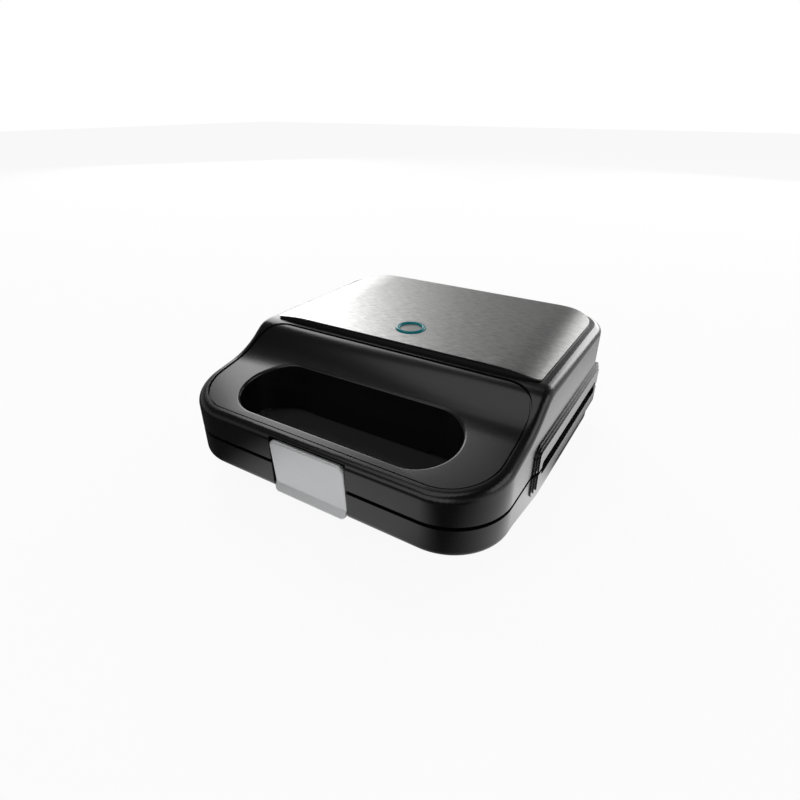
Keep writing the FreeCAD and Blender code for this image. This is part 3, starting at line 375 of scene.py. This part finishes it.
class DONUT_OT_latch(bpy.types.Operator):
    """Dresses the clip at the front"""

    bl_idname = "donut.latch"
    bl_label = "Latch"

    def execute(self, context):
        # ABS with a sprayed silver paint: pale satin grey with fine metal flakes.
        silver = grained(
            "silver_painted_abs", looks().latch_colour,
            rough=(0.32, 0.44), grain_mm=0.3, depth_mm=0.001, shift=0.1, Metallic=0.6,
        )
        skin("latch", silver)
        return {"FINISHED"}


class DONUT_OT_mould_plates(bpy.types.Operator):
    """Dresses the plates with the ring hollows"""

    bl_idname = "donut.mould_plates"
    bl_label = "Mould plates"

    def execute(self, context):
        # Die-cast aluminium under a sprayed PTFE coat: dark grey, softly shining, lightly speckled.
        coating = grained(
            "sprayed_ptfe_dark", looks().coating_colour,
            rough=(0.32, 0.46), grain_mm=0.7, depth_mm=0.006, shift=0.3,
        )
        for node in ("upper_mould_plate", "lower_mould_plate"):
            skin(node, coating)
        return {"FINISHED"}


class DONUT_OT_heaters(bpy.types.Operator):
    """Dresses the heating elements and the sheets behind them"""

    bl_idname = "donut.heaters"
    bl_label = "Heaters"

    def execute(self, context):
        # Steel tube, drawn and darkened by heat: dull warm grey with lighter and darker stains.
        tube = grained(
            "drawn_steel_tube", linear("#6E6A64"),
            rough=(0.38, 0.55), grain_mm=4.0, depth_mm=0.004, shift=0.25, Metallic=1.0,
        )
        # Aluminised steel, rolled: bright, with a fine spangle.
        sheet = grained(
            "aluminised_steel_sheet", linear("#B9BABB"),
            rough=(0.3, 0.42), grain_mm=3.0, depth_mm=0.002, shift=0.1, Metallic=1.0,
        )
        for side in ("upper", "lower"):
            paint_node(side + "_heating_element", tube)
            paint_node(side + "_reflector", sheet)
        return {"FINISHED"}


class DONUT_OT_fasteners(bpy.types.Operator):
    """Dresses the screws and pins"""

    bl_idname = "donut.fasteners"
    bl_label = "Fasteners"

    def execute(self, context):
        # Steel with bright zinc plating: pale grey, slightly cloudy.
        zinc = grained(
            "zinc_plated_steel", linear("#A7A9AB"),
            rough=(0.28, 0.42), grain_mm=1.2, depth_mm=0.002, Metallic=1.0,
        )
        for side in ("upper", "lower"):
            for group in ("cover", "liner", "plate"):
                paint_node(f"{side}_{group}_screws", zinc)
        for pin in ("latch_pin", "hinge_pin_left", "hinge_pin_right"):
            paint_node(pin, zinc)
        return {"FINISHED"}


class DONUT_OT_base_fittings(bpy.types.Operator):
    """Dresses the electrical parts in the base"""

    bl_idname = "donut.base_fittings"
    bl_label = "Base fittings"

    def execute(self, context):
        # Phenolic, pressed: brown black and dull.
        phenolic = grained(
            "pressed_phenolic_brown", linear("#2E2420"),
            rough=(0.4, 0.55), grain_mm=1.0, depth_mm=0.004,
        )
        # Steatite, fired unglazed: chalky and pale.
        steatite = grained(
            "fired_steatite_pale", linear("#D9D3C4"),
            rough=(0.6, 0.75), grain_mm=0.8, depth_mm=0.005,
        )
        # Polyamide, moulded: black and satin.
        polyamide = grained(
            "moulded_polyamide_black", linear("#1B1B1C"),
            rough=(0.4, 0.52), grain_mm=0.6, depth_mm=0.004,
        )
        paint_node("thermostat", phenolic)
        paint_node("thermal_fuse", steatite)
        paint_node("terminal_block", steatite)
        skin("cord_gland", polyamide)
        return {"FINISHED"}


class DONUT_OT_feet(bpy.types.Operator):
    """Dresses the feet"""

    bl_idname = "donut.feet"
    bl_label = "Feet"

    def execute(self, context):
        # Silicone rubber, pressed: dark grey, dull, with a dusty bloom.
        rubber = grained(
            "pressed_rubber_grey", linear("#2B2B2C"),
            rough=(0.68, 0.85), grain_mm=1.2, depth_mm=0.01, shift=0.2,
        )
        for row in ("front", "rear"):
            for side in ("left", "right"):
                skin(f"foot_{row}_{side}", rubber)
        return {"FINISHED"}


class DONUT_OT_stage(bpy.types.Operator):
    """Lays the floor, hangs the lamps and sets the camera"""

    bl_idname = "donut.stage"
    bl_label = "Stage"

    CAMERA_PLACE = HINGE + Vector((0.1891, -0.4463, 0.2037))
    CAMERA_TURN = (math.radians(60.66), 0.0, math.radians(31.7))
    CAMERA_LENS = 23.84
    NEAR_CLIP = 0.01
    # What the panels face.
    AIM = Vector((0.0, 0.0, 0.06))
    # Name, place, width, height and strength in watts of each soft panel.
    PANELS = (
        ("left_panel", (-1.57, 1.23, 1.05), 1.05, 2.1, 28.0),
        ("rear_panel", (0.4, 1.95, 0.65), 1.1, 0.9, 17.0),
        ("rear_top_panel", (-0.62, 0.85, 1.5), 0.5, 0.5, 0.9),
        ("right_panel", (1.9, 0.35, 1.0), 1.6, 1.1, 7.0),
        ("overhead_panel", (-0.3, -0.55, 1.7), 1.2, 1.2, 5.0),
        ("front_panel", (-0.2, -2.0, 0.9), 2.4, 1.2, 9.0),
    )
    # The share of plain white in the paper that the eye sees; the rest takes the shadow.
    WHITE_SHARE = 0.93
    # Painted reflections in the floor, seen only by glossy faces: middle of their dim strip at the right wall, and
    # of their bright patch before the latch.
    REFLECTION_DIM_STRIP = 0.118
    REFLECTION_BRIGHT_PATCH = (-0.005, -0.16, 0.0)
    # How much further back the dark front of the painted reflections reaches for each metre to the left.
    FRONT_SLANT = 0.6
    # Each painted-reflection fade's near and far end in metres, then its level at the two.
    FRONT_FADE = (-0.1, 0.06, 0.02, 1.0)
    BESIDE_FADE = (0.13, 0.18, 2.0, 1.0)
    DEPTH_FADE = (0.0, 0.35, 0.9, 0.6)
    STRIP_FADE = (0.0145, 0.0185, 0.08, 1.0)
    STRIP_END_FADE = (-0.02, 0.04, 1.0, 0.0)
    PATCH_FADE = (0.05, 0.11, 0.85, 0.0)
    # The same for the room, whose ends are parts of a direction of length 1.
    ROOM_HEIGHT_FADE = (0.25, 0.6, 0.55, 0.05)
    ROOM_DEPTH_FADE = (-0.6, 0.8, 0.5, 1.0)

    def execute(self, context):
        self.lay_floor()
        for panel in self.PANELS:
            self.hang_panel(*panel)
        self.light_world()
        self.set_camera()
        context.scene.view_settings.view_transform = "Standard"
        return {"FINISHED"}

    def painted_reflection_level(self, tree):
        """Painted reflections: a glow of the paper that only glossy faces mirror, dark in front and at the left,
        bright beyond the right wall and in a patch before the latch, dim in a strip at that wall's rear."""
        place = add_node(tree, "ShaderNodeTexCoord").outputs["Object"]
        split = add_node(tree, "ShaderNodeSeparateXYZ", links={"Vector": place})
        slant = add_node(
            tree, "ShaderNodeMath", {"operation": "MULTIPLY_ADD", 1: self.FRONT_SLANT},
            {0: split.outputs["X"], 2: split.outputs["Y"]},
        )
        from_latch = add_node(
            tree, "ShaderNodeVectorMath", {"operation": "DISTANCE", 1: self.REFLECTION_BRIGHT_PATCH}, {0: place},
        )
        beyond_strip = add_node(
            tree, "ShaderNodeMath", {"operation": "SUBTRACT", 1: self.REFLECTION_DIM_STRIP},
            {0: split.outputs["X"]},
        )
        from_strip = add_node(
            tree, "ShaderNodeMath", {"operation": "ABSOLUTE"}, {0: beyond_strip.outputs["Value"]},
        )
        bright = joined_fades(tree, "MULTIPLY", (
            (slant.outputs["Value"], self.FRONT_FADE),
            (split.outputs["X"], self.BESIDE_FADE),
            (split.outputs["Y"], self.DEPTH_FADE),
        ))
        dimmed = joined_fades(tree, "MAXIMUM", (
            (from_strip.outputs["Value"], self.STRIP_FADE),
            (split.outputs["Y"], self.STRIP_END_FADE),
        ))
        patch = joined_fades(tree, "ADD", ((from_latch.outputs["Value"], self.PATCH_FADE),))
        mirrored = add_node(
            tree, "ShaderNodeMath", {"operation": "MULTIPLY_ADD"}, {0: bright, 1: dimmed, 2: patch},
        )
        return mirrored.outputs["Value"]

    def lay_floor(self):
        # Matt white paper: white to the eye, with a soft shadow under the object; to glossy faces it glows instead
        # with painted reflections.
        material, tree = new_material("matt_white_paper")
        path = add_node(tree, "ShaderNodeLightPath")
        level = add_node(
            tree, "ShaderNodeMix", {LEVEL_A: 1.0},
            {MIX_SHARE: path.outputs["Is Glossy Ray"], LEVEL_B: self.painted_reflection_level(tree)},
        )
        seen = add_node(
            tree, "ShaderNodeMath", {"operation": "MAXIMUM"},
            {0: path.outputs["Is Camera Ray"], 1: path.outputs["Is Transmission Ray"]},
        )
        white = add_node(
            tree, "ShaderNodeMath", {"operation": "MULTIPLY", 1: self.WHITE_SHARE},
            {0: seen.outputs["Value"]},
        )
        share = add_node(
            tree, "ShaderNodeMath", {"operation": "MAXIMUM"},
            {0: white.outputs["Value"], 1: path.outputs["Is Glossy Ray"]},
        )
        shadowed = add_node(
            tree, "ShaderNodeBsdfDiffuse", {"Color": with_alpha(linear("#F4F4F4"))},
        )
        plain = add_node(tree, "ShaderNodeEmission", links={"Strength": level.outputs[LEVEL_OUT]})
        mixed = add_node(
            tree, "ShaderNodeMixShader",
            links={
                0: share.outputs["Value"],
                1: shadowed.outputs["BSDF"],
                2: plain.outputs["Emission"],
            },
        )
        add_node(tree, "ShaderNodeOutputMaterial", links={"Surface": mixed.outputs["Shader"]})
        bpy.ops.object.select_all(action="DESELECT")
        bpy.ops.mesh.primitive_plane_add(size=looks().floor_size, location=(0, 0, 0))
        floor = bpy.context.active_object
        floor.name = "floor"
        floor.data.materials.append(material)

    def hang_panel(self, name, place, width, height, watts):
        """A soft rectangular lamp that faces the object."""
        lamp = bpy.data.lights.new(name, "AREA")
        lamp.shape = "RECTANGLE"
        lamp.size = width
        lamp.size_y = height
        lamp.energy = watts
        made = bpy.data.objects.new(name, lamp)
        made.location = place
        made.rotation_euler = (self.AIM - Vector(place)).to_track_quat("-Z", "Y").to_euler()
        bpy.context.scene.collection.objects.link(made)

    def light_world(self):
        """White to the eye; as light, bright round the horizon behind and dim overhead and in front."""
        world = bpy.data.worlds.new("white_studio")
        bpy.context.scene.world = world
        world.use_nodes = True
        tree = world.node_tree
        tree.nodes.clear()
        path = add_node(tree, "ShaderNodeLightPath")
        place = add_node(tree, "ShaderNodeTexCoord").outputs["Generated"]
        split = add_node(tree, "ShaderNodeSeparateXYZ", links={"Vector": place})
        level = joined_fades(tree, "MULTIPLY", (
            (split.outputs["Z"], self.ROOM_HEIGHT_FADE),
            (split.outputs["Y"], self.ROOM_DEPTH_FADE),
        ))
        white = with_alpha(linear("#FFFFFF"))
        room = add_node(tree, "ShaderNodeBackground", {"Color": white}, {"Strength": level})
        seen = add_node(tree, "ShaderNodeBackground", {"Color": white, "Strength": 1.0})
        mixed = add_node(
            tree, "ShaderNodeMixShader",
            links={
                0: path.outputs["Is Camera Ray"],
                1: room.outputs["Background"],
                2: seen.outputs["Background"],
            },
        )
        add_node(tree, "ShaderNodeOutputWorld", links={"Surface": mixed.outputs["Shader"]})

    def set_camera(self):
        """The camera at the photograph's viewing angle."""
        lens = bpy.data.cameras.new("camera")
        lens.lens = self.CAMERA_LENS
        lens.clip_start = self.NEAR_CLIP
        camera = bpy.data.objects.new("camera", lens)
        camera.location = self.CAMERA_PLACE
        camera.rotation_euler = self.CAMERA_TURN
        bpy.context.scene.collection.objects.link(camera)
        bpy.context.scene.camera = camera


PIECES = (
    DONUT_OT_casing,
    DONUT_OT_liners,
    DONUT_OT_cover_panel,
    DONUT_OT_indicator,
    DONUT_OT_latch,
    DONUT_OT_mould_plates,
    DONUT_OT_heaters,
    DONUT_OT_fasteners,
    DONUT_OT_base_fittings,
    DONUT_OT_feet,
    DONUT_OT_stage,
)


class DONUT_PT_pieces(bpy.types.Panel):
    """Lists the finishes and the pieces"""

    bl_idname = "DONUT_PT_pieces"
    bl_label = "Donut Maker"
    bl_space_type = "VIEW_3D"
    bl_region_type = "UI"
    bl_category = "Donut Maker"

    def draw(self, context):
        for name in DonutMakerLooks.__annotations__:
            self.layout.prop(context.scene.donut_maker_looks, name)
        for piece in PIECES:
            self.layout.operator(piece.bl_idname)


CLASSES = (DonutMakerLooks, *PIECES, DONUT_PT_pieces)


def register():
    for each in CLASSES:
        bpy.utils.register_class(each)
    bpy.types.Scene.donut_maker_looks = bpy.props.PointerProperty(type=DonutMakerLooks)


def unregister():
    del bpy.types.Scene.donut_maker_looks
    for each in reversed(CLASSES):
        bpy.utils.unregister_class(each)


def main():
    register()
    for piece in PIECES:
        group, name = piece.bl_idname.split(".")
        getattr(getattr(bpy.ops, group), name)()


if __name__ == "__main__":
    main()
